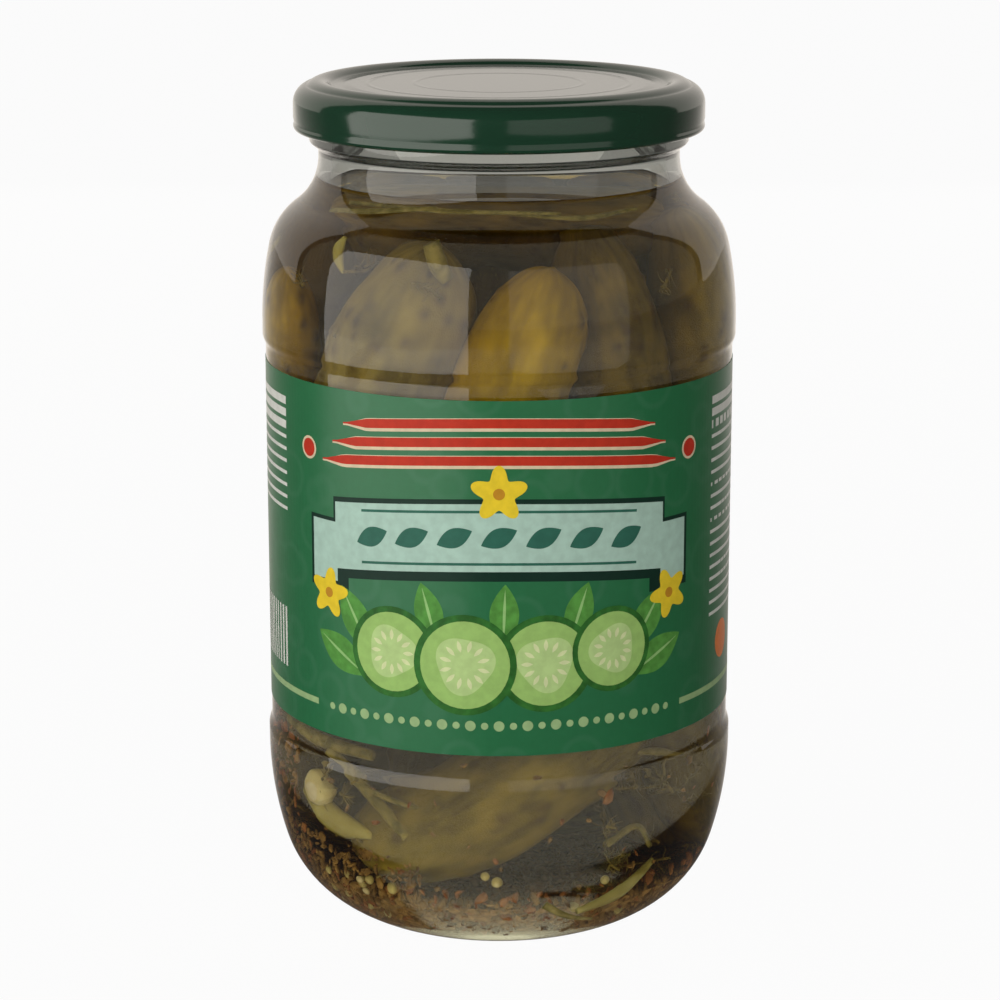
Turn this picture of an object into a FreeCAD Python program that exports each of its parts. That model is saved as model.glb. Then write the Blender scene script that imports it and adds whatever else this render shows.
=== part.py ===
import FreeCAD, Part
import os
import Sketcher

# A one-litre glass preserving jar, full and shut: the moulded glass jar, the pressed
# twist-off lid on its rim, the paper label wound round its sunk panel, and what fills it.
# Millimetres. +Z is up the jar's axis, z = 0 is the surface it stands on, -Y is the front.

SIZES = {
    # glass: the body, its two widest rings and the curves between them
    "body_radius": 50.1,       # outer radius at the two contact rings
    "foot_inset": 27.1,        # from the body in to the flat ring that the jar stands on
    "foot_width": 2.5,         # width of that ring
    "heel_radius": 25.0,       # round of the heel, from the foot up into the side
    "rim_height": 179.4,       # top of the rim, where the lid seats
    "low_ring": 39.0,          # height of the lower contact ring
    "shoulder_drop": 49.4,     # from the rim down to the upper contact ring
    "crown_radius": 80.0,      # long curve by which the side leans in above that ring
    "shoulder_radius": 14.0,   # round of the shoulder
    "throat_radius": 12.5,     # hollow curve from the shoulder into the neck
    "neck_radius": 37.8,       # outer radius of the neck
    "neck_drop": 14.4,         # from the rim down to where the neck becomes upright
    "glass_wall": 3.0,         # thickness of side, shoulder and neck
    "glass_floor": 6.0,        # height of the inside floor
    "push_up": 3.0,            # how far the base is domed upwards in the middle
    # glass: the finish, which is the ring that carries the lid
    "bead_out": 1.9,           # how far the bead and the finish stand out from the neck
    "bead_drop": 13.2,         # from the rim down to the bead's underside
    "bead_rise": 2.1,          # height over which the bead swells out
    "rim_round": 0.8,          # round on both edges of the rim
    # glass: the sunk panel for the label
    "panel_edge": 2.4,         # from each contact ring to the panel's end
    "panel_depth": 0.65,
    "panel_slope": 2.2,        # height over which each end runs out
    # paper label
    "label_under": 7.45,       # from the panel's lower end up to the label
    "label_over": 5.05,        # from the label up to the panel's upper end
    "label_paper": 0.12,
    # contents
    "fill_drop": 19.4,         # from the rim down to the brine
    # steel lid
    "lid_room": 3.25,          # from the finish out to the outside of the skirt
    "lid_sheet": 0.5,
    "lid_shoulder": 4.0,       # round between skirt and top
    "lid_curl": 0.95,          # radius of the rolled lower edge
    "lid_drop": 9.1,           # from the rim down to the lowest point of that roll
    "ridge_inset": 2.9,        # raised ring round the top: from the skirt to its outer foot,
    "ridge_step": 0.65,        # from the plug to its inner foot
    "ridge_round": 3.45,       # and the radius of its rounded section
    "ridge_foot": 0.3,         # how far below the flat top the ring's feet lie
    "mouth_gap": 0.45,         # room between the bore and the plug that hangs into it
    "pan_depth": 0.4,          # how far the panel lies below the lid's flat top
    "pan_edge": 1.35,          # from the plug's side in to the end of the panel's low ring
    "pan_ramp": 2.0,           # width of the slope from there up to the middle
    "pan_rise": 0.3,           # how much higher the middle is
}

# Places that hang from more than one size, as sums of sheet names.
HIGH_RING = "rim_height - shoulder_drop"
NECK_BASE = "rim_height - neck_drop"
BEAD_BASE = "rim_height - bead_drop"
FOOT = "body_radius - foot_inset"
PANEL_BASE = "low_ring + panel_edge"
PANEL_TOP = f"{HIGH_RING} - panel_edge"
PANEL_FLOOR = "body_radius - panel_depth"
BORE = "neck_radius - glass_wall"
FINISH = "neck_radius + bead_out"
SKIRT = f"{FINISH} + lid_room"
PLUG = f"{BORE} - mouth_gap"
LID_TOP = "rim_height + lid_sheet"
RIDGE_FOOT = f"{LID_TOP} - ridge_foot"
PAN = f"{LID_TOP} - pan_depth"

doc = FreeCAD.newDocument("pickle_jar")
sheet = doc.addObject("Spreadsheet::Sheet", "Sizes")
for row, (word, size) in enumerate(SIZES.items(), start=1):
    sheet.set(f"A{row}", word)
    sheet.set(f"B{row}", str(size))
    sheet.setAlias(f"B{row}", word)
doc.recompute()


def amount(words):
    """Number that a sum of sheet names, such as 'body_radius - glass_wall', comes to."""
    total = 0.0
    sign = 1.0
    for word in words.split():
        if word in "+-":
            sign = 1.0 if word == "+" else -1.0
        else:
            total += sign * sheet.get(word)
    return total


def bound(words):
    """The same sum as an expression on the sheet's cells."""
    return " ".join(word if word in "+-" else f"Sizes.{word}" for word in words.split())


def new_body(name):
    body = doc.addObject("PartDesign::Body", name)
    body.Label = name
    return body


def new_sketch(body, name):
    """Empty sketch on the body's own upright plane: x is the radius, y the height."""
    sketch = body.newObject("Sketcher::SketchObject", name)
    plane = next(f for f in body.Origin.OriginFeatures if f.Role == "XZ_Plane")
    sketch.AttachmentSupport = [(plane, "")]
    sketch.MapMode = "FlatFace"
    return sketch


def turn(body, sketch, kind, name):
    """Revolution adds, and Groove cuts, the sketch turned once round the jar's axis."""
    feature = body.newObject(f"PartDesign::{kind}", name)
    feature.Profile = sketch
    feature.ReferenceAxis = (sketch, ["V_Axis"])
    feature.Angle = 360.0
    sketch.Visibility = False
    body.Tip = feature
    doc.recompute()
    return feature


def hold(sketch, constraint, words):
    """Adds a dimension and binds it to a sum of sheet names."""
    index = sketch.addConstraint(constraint)
    sketch.setExpression(f"Constraints[{index}]", bound(words))


def pin(sketch, edge, end, corner):
    """Holds one end of an edge at the radius and height that the corner's two sums give."""
    for kind, words in zip(("DistanceX", "DistanceY"), corner):
        value = amount(words) if words else 0.0
        if abs(value) < 1e-9:
            place = "PointOnObject"
            axis = -2 if kind == "DistanceX" else -1
            sketch.addConstraint(Sketcher.Constraint(place, edge, end, axis))
        else:
            hold(sketch, Sketcher.Constraint(kind, -1, 1, edge, end, value), words)


def point(corner):
    return FreeCAD.Vector(*(amount(words) if words else 0.0 for words in corner), 0)


def arc_between(start, end, radius):
    """Arc from start to end. A positive radius bulges to the right of the way it runs."""
    chord = end - start
    half = chord.Length / 2
    size = abs(radius)
    side = FreeCAD.Vector(chord.y, -chord.x, 0).normalize()
    sag = size - (size ** 2 - half ** 2) ** 0.5
    middle = (start + end) * 0.5 + side * (sag if radius > 0 else -sag)
    return Part.Arc(start, middle, end)


def join(sketch, edges, smooth=()):
    """Ties each edge to the next, end to start, tangent after the edges named in smooth."""
    for place, (edge, following) in enumerate(zip(edges, edges[1:] + edges[:1])):
        kind = "Tangent" if place in smooth else "Coincident"
        sketch.addConstraint(Sketcher.Constraint(kind, edge[0], edge[2], following[0], following[1]))


def add_edge(sketch, curve, start):
    """Adds a line or an arc. Returns its number and which of its ends is start, which end."""
    index = sketch.addGeometry(curve, False)
    first = 1 if sketch.getPoint(index, 1).distanceToPoint(start) < 1e-6 else 2
    return index, first, 3 - first


def corner_section(body, name, corners):
    """Closed section whose corners are all fixed by the sheet.

    Each corner is (radius words, height words) or (radius words, height words, round),
    where round is '+' or '-' and a size: the edge that leaves the corner is then an arc of
    that size, bulging to its right or left.
    """
    sketch = new_sketch(body, name)
    edges = []
    rounds = []
    for corner, following in zip(corners, corners[1:] + corners[:1]):
        start = point(corner[:2])
        end = point(following[:2])
        if len(corner) == 3:
            sign, word = corner[2].split(maxsplit=1)
            curve = arc_between(start, end, amount(word) * (1 if sign == "+" else -1))
            rounds.append((len(edges), word))
        else:
            curve = Part.LineSegment(start, end)
        edges.append(add_edge(sketch, curve, start))
    join(sketch, edges)
    for edge, corner in zip(edges, corners):
        pin(sketch, edge[0], edge[1], corner[:2])
    for index, word in rounds:
        hold(sketch, Sketcher.Constraint("Radius", edges[index][0], amount(word)), word)
    return sketch


def touching(centre_a, reach_a, centre_b, reach_b):
    """Centre that lies reach_a from one centre and reach_b from the other, lower one of two."""
    between = centre_b - centre_a
    along = (reach_a ** 2 - reach_b ** 2 + between.Length ** 2) / (2 * between.Length)
    aside = (reach_a ** 2 - along ** 2) ** 0.5
    direction = FreeCAD.Vector(between).normalize()
    normal = FreeCAD.Vector(direction.y, -direction.x, 0)
    return centre_a + direction * along + normal * aside


def vessel_section(body, name, inset, base):
    """Half section of the jar's body as if it were solid, drawn inset inside its outside.

    From the axis: flat base, heel arc, belly arc up to the lower ring, upright side, crown
    arc from the upper ring, shoulder arc, throat arc, upright neck, level top and the axis.
    All arcs run into their neighbours without a corner.
    """
    less = f" - {inset}" if inset else ""
    more = f" + {inset}" if inset else ""
    side = "body_radius" + less
    neck = "neck_radius" + less
    heel = "heel_radius" + less
    crown = "crown_radius" + less
    shoulder = "shoulder_radius" + less
    throat = "throat_radius" + more

    foot = point((FOOT, base))
    low = point((side, "low_ring"))
    high = point((side, HIGH_RING))
    collar = point((neck, NECK_BASE))
    rim = point((neck, "rim_height"))
    up = FreeCAD.Vector(0, 1, 0)
    out = FreeCAD.Vector(1, 0, 0)

    # Heel and belly: the belly's centre is level with the lower ring, and the two touch.
    heel_size = amount(heel)
    heel_centre = foot + up * heel_size
    offset = low - heel_centre
    belly_size = (offset.x ** 2 + offset.y ** 2 - heel_size ** 2) / (2 * (offset.x - heel_size))
    belly_centre = low - out * belly_size
    heel_end = heel_centre + (heel_centre - belly_centre).normalize() * heel_size

    # Crown, shoulder and throat: the shoulder touches both of the others.
    crown_centre = high - out * amount(crown)
    throat_centre = collar + out * amount(throat)
    shoulder_size = amount(shoulder)
    shoulder_centre = touching(crown_centre, amount(crown) - shoulder_size,
                               throat_centre, amount(throat) + shoulder_size)
    lean = (shoulder_centre - crown_centre).normalize()
    drop = (throat_centre - shoulder_centre).normalize()
    crown_end = crown_centre + lean * amount(crown)
    shoulder_end = shoulder_centre + drop * shoulder_size

    sketch = new_sketch(body, name)
    axis_low = point(("", base))
    axis_high = point(("", "rim_height"))
    curves = [
        (Part.LineSegment(axis_low, foot), axis_low),
        (arc_between(foot, heel_end, heel_size), foot),
        (arc_between(heel_end, low, belly_size), heel_end),
        (Part.LineSegment(low, high), low),
        (arc_between(high, crown_end, amount(crown)), high),
        (arc_between(crown_end, shoulder_end, shoulder_size), crown_end),
        (arc_between(shoulder_end, collar, -amount(throat)), shoulder_end),
        (Part.LineSegment(collar, rim), collar),
        (Part.LineSegment(rim, axis_high), rim),
        (Part.LineSegment(axis_high, axis_low), axis_high),
    ]
    edges = [add_edge(sketch, curve, start) for curve, start in curves]
    join(sketch, edges, smooth=range(0, 7))
    for index, words in ((1, heel), (4, crown), (5, shoulder), (6, throat)):
        hold(sketch, Sketcher.Constraint("Radius", edges[index][0], amount(words)), words)
    for index in (3, 7):
        sketch.addConstraint(Sketcher.Constraint("Vertical", edges[index][0]))
    sketch.addConstraint(Sketcher.Constraint("Horizontal", edges[0][0]))
    for index, corner in ((0, ("", base)), (9, ("", "rim_height"))):
        pin(sketch, edges[index][0], edges[index][1], corner)
    for index, words in ((1, FOOT), (3, side), (7, neck)):
        number, first, _ = edges[index]
        hold(sketch, Sketcher.Constraint("DistanceX", -1, 1, number, first, amount(words)), words)
    for index, words in ((3, "low_ring"), (4, HIGH_RING), (7, NECK_BASE), (8, "rim_height")):
        number, first, _ = edges[index]
        hold(sketch, Sketcher.Constraint("DistanceY", -1, 1, number, first, amount(words)), words)
    return sketch


def make_jar():
    """Glass jar: solid outside, ring of the finish, then the inside, panel and base cut out."""
    body = new_body("jar")
    outside = vessel_section(body, "outside", "", "")
    turn(body, outside, "Revolution", "blank")
    finish = corner_section(body, "finish", [
        (BORE, BEAD_BASE),
        ("neck_radius", BEAD_BASE),
        (FINISH, f"{BEAD_BASE} + bead_rise"),
        (FINISH, "rim_height - rim_round", "+ rim_round"),
        (f"{FINISH} - rim_round", "rim_height"),
        (BORE, "rim_height"),
    ])
    turn(body, finish, "Revolution", "finish_ring")
    inside = vessel_section(body, "inside", "glass_wall", "glass_floor")
    turn(body, inside, "Groove", "hollow")
    mouth = corner_section(body, "mouth", [
        (BORE, "rim_height - rim_round", "- rim_round"),
        (f"{BORE} + rim_round", "rim_height"),
        (BORE, "rim_height"),
    ])
    turn(body, mouth, "Groove", "mouth_round")
    panel = corner_section(body, "panel", [
        ("body_radius", PANEL_BASE),
        ("body_radius + panel_depth", PANEL_BASE),
        ("body_radius + panel_depth", PANEL_TOP),
        ("body_radius", PANEL_TOP),
        (PANEL_FLOOR, f"{PANEL_TOP} - panel_slope"),
        (PANEL_FLOOR, f"{PANEL_BASE} + panel_slope"),
    ])
    turn(body, panel, "Groove", "label_panel")
    base = corner_section(body, "base", [
        ("", ""),
        (f"{FOOT} - foot_width", ""),
        (f"{FOOT} - foot_width - push_up", "push_up"),
        ("", "push_up"),
    ])
    turn(body, base, "Groove", "push_up")
    return body


def make_label():
    """Paper sleeve that lies on the floor of the sunk panel."""
    body = new_body("label")
    section = corner_section(body, "label_section", [
        (PANEL_FLOOR, f"{PANEL_BASE} + label_under"),
        (f"{PANEL_FLOOR} + label_paper", f"{PANEL_BASE} + label_under"),
        (f"{PANEL_FLOOR} + label_paper", f"{PANEL_TOP} - label_over"),
        (PANEL_FLOOR, f"{PANEL_TOP} - label_over"),
    ])
    turn(body, section, "Revolution", "sleeve")
    return body


def make_contents():
    """Brine with all that lies in it: the inside of the glass, up to the fill level."""
    body = new_body("contents")
    section = vessel_section(body, "contents_section", "glass_wall", "glass_floor")
    turn(body, section, "Revolution", "full_jar")
    above = corner_section(body, "headspace", [
        ("", "rim_height - fill_drop"),
        ("body_radius", "rim_height - fill_drop"),
        ("body_radius", "rim_height"),
        ("", "rim_height"),
    ])
    turn(body, above, "Groove", "level")
    return body


def make_lid():
    """Pressed lid: sheet of one thickness that rests on the rim, with a rolled lower edge."""
    body = new_body("lid")
    hem = "rim_height - lid_drop + lid_curl"
    section = corner_section(body, "lid_section", [
        (SKIRT, hem),
        (SKIRT, f"{LID_TOP} - lid_shoulder", "+ lid_shoulder"),
        (f"{SKIRT} - lid_shoulder", LID_TOP),
        (f"{PLUG} + ridge_step", LID_TOP),
        (f"{PLUG} + ridge_step", PAN),
        (f"{PLUG} - pan_edge", PAN),
        (f"{PLUG} - pan_edge - pan_ramp", f"{PAN} + pan_rise"),
        ("", f"{PAN} + pan_rise"),
        ("", f"{PAN} + pan_rise - lid_sheet"),
        (f"{PLUG} - pan_edge - pan_ramp", f"{PAN} + pan_rise - lid_sheet"),
        (f"{PLUG} - pan_edge", f"{PAN} - lid_sheet"),
        (PLUG, f"{PAN} - lid_sheet"),
        (PLUG, "rim_height"),
        (f"{SKIRT} - lid_shoulder", "rim_height", "- lid_shoulder - lid_sheet"),
        (f"{SKIRT} - lid_sheet", f"{LID_TOP} - lid_shoulder"),
        (f"{SKIRT} - lid_sheet", hem),
    ])
    turn(body, section, "Revolution", "shell")
    ridge = corner_section(body, "ridge_section", [
        (f"{SKIRT} - ridge_inset", RIDGE_FOOT, "+ ridge_round"),
        (f"{PLUG} + ridge_step", RIDGE_FOOT),
    ])
    turn(body, ridge, "Revolution", "ridge")
    curl = new_sketch(body, "curl_section")
    centre = point((f"{SKIRT} - lid_curl", hem))
    circle = curl.addGeometry(Part.Circle(centre, FreeCAD.Vector(0, 0, 1), amount("lid_curl")))
    pin(curl, circle, 3, (f"{SKIRT} - lid_curl", hem))
    hold(curl, Sketcher.Constraint("Radius", circle, amount("lid_curl")), "lid_curl")
    turn(body, curl, "Revolution", "curl")
    return body


parts = [make_jar(), make_lid(), make_label(), make_contents()]
doc.recompute()

for item in doc.Objects:
    if "Invalid" in item.State or "Error" in item.State:
        raise RuntimeError(f"{item.Label} failed: {item.State}")
for part in parts:
    if part.Shape.isNull() or not part.Shape.isValid():
        raise RuntimeError(f"{part.Label} has no valid shape")
    if len(part.Shape.Solids) != 1:
        raise RuntimeError(f"{part.Label} is {len(part.Shape.Solids)} solids")

os.makedirs("parts", exist_ok=True)
for part in parts:
    part.Shape.exportStep(f"parts/{part.Label}.step")
    box = part.Shape.optimalBoundingBox()
    print(f"{part.Label}: {part.Shape.Volume / 1000:.1f} cm3, radius {box.XMax:.2f}, "
          f"z {box.ZMin:.2f} to {box.ZMax:.2f}")
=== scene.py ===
# %% [markdown]
# # A jar of pickled cucumbers
# The real thing is a blown glass jar, a pressed steel lid, a paper label round the middle and,
# inside, cucumbers with dill, garlic and spice in clear yellow brine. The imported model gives
# four plain solids at their true size. This lesson dresses each of them, and makes what
# lies in the brine, as surfaces worked out with numpy.

import math

import bpy
import numpy as np
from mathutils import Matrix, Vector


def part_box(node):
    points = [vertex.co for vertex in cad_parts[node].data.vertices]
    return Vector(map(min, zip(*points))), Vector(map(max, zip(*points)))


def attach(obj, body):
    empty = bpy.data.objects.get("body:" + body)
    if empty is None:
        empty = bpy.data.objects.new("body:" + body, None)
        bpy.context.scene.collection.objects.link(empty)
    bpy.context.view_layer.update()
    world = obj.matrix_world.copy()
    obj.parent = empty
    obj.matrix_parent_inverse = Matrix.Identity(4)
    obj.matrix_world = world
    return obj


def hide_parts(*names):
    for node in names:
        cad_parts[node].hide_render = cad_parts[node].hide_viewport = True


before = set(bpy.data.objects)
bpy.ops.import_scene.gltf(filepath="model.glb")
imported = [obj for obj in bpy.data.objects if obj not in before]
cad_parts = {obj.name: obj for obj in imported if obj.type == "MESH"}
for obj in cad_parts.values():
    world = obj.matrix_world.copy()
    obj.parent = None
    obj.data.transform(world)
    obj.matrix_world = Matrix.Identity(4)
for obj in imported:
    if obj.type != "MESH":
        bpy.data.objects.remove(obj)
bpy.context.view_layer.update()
MM = 0.001
scene = bpy.context.scene
print("nodes", sorted(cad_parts))

# %% [markdown]
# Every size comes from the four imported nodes. Only the radii of the glass's curves can't be
# read from a box, so they are named here, in millimetres like all that follows.

# %% Sizes of the jar
node_box = {name: np.array([tuple(c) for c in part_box(name)]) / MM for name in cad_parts}
BODY_RADIUS = node_box["jar"][1, 0]
RIM = node_box["jar"][1, 2]
INNER_RADIUS = node_box["contents"][1, 0]
FLOOR = node_box["contents"][0, 2]
FILL = node_box["contents"][1, 2]
LABEL_RADIUS = node_box["label"][1, 0]
LABEL_LOW, LABEL_HIGH = node_box["label"][:, 2]
LID_RADIUS = node_box["lid"][1, 0]
LID_LOW, LID_TOP = node_box["lid"][:, 2]
WALL = BODY_RADIUS - INNER_RADIUS
FOOT_RADIUS = 23.0
HEEL_RADIUS = 25.0
LOW_RING = 39.0
HIGH_RING = 130.0
CROWN_RADIUS = 80.0
SHOULDER_RADIUS = 14.0
THROAT_RADIUS = 12.5
NECK_RADIUS = 37.8
NECK_BASE = 165.0
print(f"body {BODY_RADIUS:.2f}, rim {RIM:.2f}, wall {WALL:.2f}, brine to {FILL:.1f} mm")

# %% [markdown]
# A turned outline is a chain of arcs and straight runs in the plane of radius and height.
# One helper samples an arc from its centre and two angles. Points could be joined by hand,
# but arcs that touch give a glass surface with no kink for a highlight to break on.

# %% Arcs and straight runs
def arc(centre, radius, start, end, steps=12):
    """Points centre + radius * (cos a, sin a), with a going evenly from start to end degrees."""
    angle = np.radians(np.linspace(start, end, steps + 1))
    return np.asarray(centre) + radius * np.column_stack([np.cos(angle), np.sin(angle)])


def chain(*runs):
    """The runs one after another, without the points that repeat the one before them."""
    points = np.vstack([np.atleast_2d(run) for run in runs])
    step = np.linalg.norm(np.diff(points, axis=0), axis=1)
    return points[np.concatenate([[True], step > 1e-4])]


def bearing(a, b):
    """Angle in degrees of the way from point a to point b."""
    return math.degrees(math.atan2(b[1] - a[1], b[0] - a[0]))


def side_outline(inset, base, spare=0.0):
    """The vessel's side, inset inside its outer face: heel, belly, crown, shoulder, throat, neck.

    Neighbouring circles touch: their centres lie apart by the difference of their radii where
    both bend the same way, and by the sum where the bend turns over. spare widens the heel's
    round, which leaves the glass thicker in that corner.
    """
    heel = HEEL_RADIUS - inset
    crown = CROWN_RADIUS - inset
    shoulder = SHOULDER_RADIUS - inset
    throat = THROAT_RADIUS + inset
    heel += spare
    heel_centre = np.array([FOOT_RADIUS - spare, base + heel])
    reach = np.array([BODY_RADIUS - inset, LOW_RING]) - heel_centre
    belly = (reach @ reach - heel ** 2) / (2 * (reach[0] - heel))
    belly_centre = np.array([BODY_RADIUS - inset - belly, LOW_RING])
    crown_centre = np.array([BODY_RADIUS - CROWN_RADIUS, HIGH_RING])
    throat_centre = np.array([NECK_RADIUS + THROAT_RADIUS, NECK_BASE])
    between = throat_centre - crown_centre
    gap = np.linalg.norm(between)
    near, far = crown - shoulder, throat + shoulder
    along = (near ** 2 - far ** 2 + gap ** 2) / (2 * gap)
    ahead = between / gap
    aside = np.array([ahead[1], -ahead[0]])
    shoulder_centre = crown_centre + along * ahead + math.sqrt(near ** 2 - along ** 2) * aside
    turn = bearing(belly_centre, heel_centre)
    lean = bearing(crown_centre, shoulder_centre)
    drop = bearing(shoulder_centre, throat_centre)
    return chain(
        arc(heel_centre, heel, -90, turn, 22),
        arc(belly_centre, belly, turn, 0, 12),
        arc(crown_centre, crown, 0, lean, 10),
        arc(shoulder_centre, shoulder, lean, drop, 14),
        arc(throat_centre, throat, 180 + drop, 180, 14),
    )


THICK_FLOOR = 1.0
THICK_CORNER = 2.0
inside = side_outline(WALL, FLOOR + THICK_FLOOR, THICK_CORNER)
outside = side_outline(0, 0)
print("outline points", len(outside), "outside and", len(inside), "inside")

# %% [markdown]
# Turning an outline gives a grid: each row is one outline point at every angle. Quads join
# the rows, and where the outline meets the axis a fan of triangles closes the pole.

# %% Grids, turned shapes and pieces
def tube_faces(rows, columns):
    """Quads between neighbouring rows of a grid whose last column meets its first."""
    row = np.arange(rows - 1)[:, None] * columns
    column = np.arange(columns)[None, :]
    following = (column + 1) % columns
    corners = [row + column, row + following, row + columns + following, row + columns + column]
    return np.stack(corners, axis=-1).reshape(-1, 4)


def sheet_faces(rows, columns):
    """Quads of a grid with four open edges."""
    row = np.arange(rows - 1)[:, None] * columns
    column = np.arange(columns - 1)[None, :]
    corners = [row + column, row + column + 1, row + columns + column + 1, row + columns + column]
    return np.stack(corners, axis=-1).reshape(-1, 4)


def closed_tube(grid, first_pole, last_pole):
    """Vertices and faces of a tube, rows x columns x 3, closed by a fan at each end's pole."""
    rows, columns, _ = grid.shape
    vertices = np.vstack([grid.reshape(-1, 3), first_pole, last_pole])
    column = np.arange(columns)
    following = (column + 1) % columns
    pole = rows * columns
    last_row = (rows - 1) * columns
    first = np.column_stack([np.full(columns, pole), following, column])
    last = np.column_stack([last_row + column, last_row + following, np.full(columns, pole + 1)])
    return vertices, tube_faces(rows, columns).tolist() + first.tolist() + last.tolist()


def turned(outline, columns=180):
    """Surface of revolution: (r cos a, r sin a, z). An outline with both ends on the axis is closed."""
    angle = np.linspace(0, 2 * np.pi, columns, endpoint=False)
    radius, height = outline[1:-1].T
    grid = np.stack([
        radius[:, None] * np.cos(angle),
        radius[:, None] * np.sin(angle),
        np.repeat(height[:, None], columns, axis=1),
    ], axis=-1)
    return closed_tube(grid, [[0, 0, outline[0, 1]]], [[0, 0, outline[-1, 1]]])


def piece(name, shape, material, replaces=(), smooth=True, attributes=None):
    """Puts a shape, (vertices in mm, faces), into a mesh object that rides on the jar."""
    vertices, faces = shape
    mesh = bpy.data.meshes.new(name)
    mesh.from_pydata((np.asarray(vertices) * MM).tolist(), [], np.asarray(faces, dtype=object).tolist())
    mesh.polygons.foreach_set("use_smooth", np.full(len(mesh.polygons), smooth))
    for word, values in (attributes or {}).items():
        kind = "FLOAT_VECTOR" if values.ndim == 2 else "FLOAT"
        field = "vector" if values.ndim == 2 else "value"
        attribute = mesh.attributes.new(word, kind, "POINT")
        attribute.data.foreach_set(field, values.astype(np.float32).ravel())
    mesh.update()
    made = bpy.data.objects.new(name, mesh)
    scene.collection.objects.link(made)
    made.data.materials.append(material)
    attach(made, "root")
    if replaces:
        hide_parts(*replaces)
    triangles = sum(len(p.vertices) - 2 for p in mesh.polygons)
    print(f"{name}: {len(mesh.vertices)} vertices, {triangles} triangles")
    return made

# %% [markdown]
# ## Materials
# A material here is a Principled shader fed by a few nodes. Small helpers keep the node
# wiring readable: add makes a node with its plain values, start begins a material, and the
# rest are the few small jobs that every material here needs.

# %% Node helpers
def add(tree, kind, links=None, **values):
    """New node. values set its properties, or its inputs where the name is an input's name."""
    node = tree.nodes.new(kind)
    for word, value in values.items():
        if hasattr(node, word):
            setattr(node, word, value)
        else:
            node.inputs[word.replace("_", " ")].default_value = value
    for socket, source in (links or {}).items():
        tree.links.new(source, node.inputs[socket])
    return node


def value_of(node, word, given):
    """Gives an input a plain number, a colour of three numbers, or another node's output."""
    if isinstance(given, bpy.types.NodeSocket):
        node.id_data.links.new(given, node.inputs[word])
    else:
        node.inputs[word].default_value = (*given, 1) if isinstance(given, tuple) else given


def blend(tree, factor, low, high):
    """Colour between low and high by the factor; each is a colour or another node's output."""
    node = add(tree, "ShaderNodeMix", {"Factor": factor}, data_type="RGBA")
    value_of(node, "A", low)
    value_of(node, "B", high)
    return node.outputs["Result"]


def reckon(tree, operation, first, second=0.5, **values):
    """Result of one sum on an output and a number or another output."""
    node = add(tree, "ShaderNodeMath", {0: first}, operation=operation, **values)
    value_of(node, 1, second)
    return node.outputs[0]


def noise(tree, where, scale, detail):
    """Value of a fractal noise at a place."""
    return add(tree, "ShaderNodeTexNoise", {"Vector": where}, Scale=scale, Detail=detail).outputs[0]


def here(tree):
    """The place in object coordinates."""
    return add(tree, "ShaderNodeTexCoord").outputs["Object"]


def raise_up(tree, shader, height, strength, distance):
    """Bump on the shader's normal: relief of the height, distance metres deep at most."""
    bump = add(tree, "ShaderNodeBump", {"Height": height}, Strength=strength, Distance=distance)
    tree.links.new(bump.outputs[0], shader.inputs["Normal"])


def finish(shader, **values):
    """Plain numbers and colours on the shader's own sockets."""
    for word, value in values.items():
        shader.inputs[word.replace("_", " ")].default_value = value


def start(name):
    """Fresh material with its output and Principled shader: (material, tree, shader, output)."""
    material = bpy.data.materials.new(name)
    material.use_nodes = True
    tree = material.node_tree
    return material, tree, tree.nodes["Principled BSDF"], tree.nodes["Material Output"]


def group(name, inputs, outputs):
    """Node group with named sockets: (tree, its input node, its output node)."""
    tree = bpy.data.node_groups.new(name, "ShaderNodeTree")
    for word, kind, value in inputs:
        socket = tree.interface.new_socket(word, in_out="INPUT", socket_type=kind)
        socket.default_value = value
    for word, kind in outputs:
        tree.interface.new_socket(word, in_out="OUTPUT", socket_type=kind)
    return tree, tree.nodes.new("NodeGroupInput"), tree.nodes.new("NodeGroupOutput")


def place(tree, name, **values):
    """A group's node in a material, with its inputs set."""
    node = tree.nodes.new("ShaderNodeGroup")
    node.node_tree = bpy.data.node_groups[name]
    for word, value in values.items():
        node.inputs[word.replace("_", " ")].default_value = value
    return node

# %% [markdown]
# Glass and brine bend light, which makes lamps behind them hard for a path tracer to find.
# The usual remedy is to let shadow rays pass straight through: the picture still refracts,
# and what lies inside is lit without speckle. Both shaders get that same ending.

# %% Glass and brine
def let_light_in(tree, shader, output, tint):
    """Mix of the shader with a transparent one, by Light Path's Is Shadow Ray."""
    path = add(tree, "ShaderNodeLightPath")
    clear = add(tree, "ShaderNodeBsdfTransparent", Color=tint)
    mix = add(tree, "ShaderNodeMixShader", {
        0: path.outputs["Is Shadow Ray"], 1: shader.outputs[0], 2: clear.outputs[0]})
    tree.links.new(mix.outputs[0], output.inputs["Surface"])


def make_glass():
    """Bottle glass: clear, with the faint green of a little iron, deeper where it is thick."""
    material, tree, shader, output = start("jar_glass")
    finish(shader, Base_Color=(0.97, 0.99, 0.975, 1), Roughness=0.0, IOR=1.5, Transmission_Weight=1.0)
    raise_up(tree, shader, noise(tree, here(tree), 28.0, 1.0), 0.12, 0.0008)
    soak = add(tree, "ShaderNodeVolumeAbsorption", Color=(0.55, 0.9, 0.72, 1), Density=9.0)
    tree.links.new(soak.outputs[0], output.inputs["Volume"])
    let_light_in(tree, shader, output, (0.95, 0.97, 0.95, 1))
    return material


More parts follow.
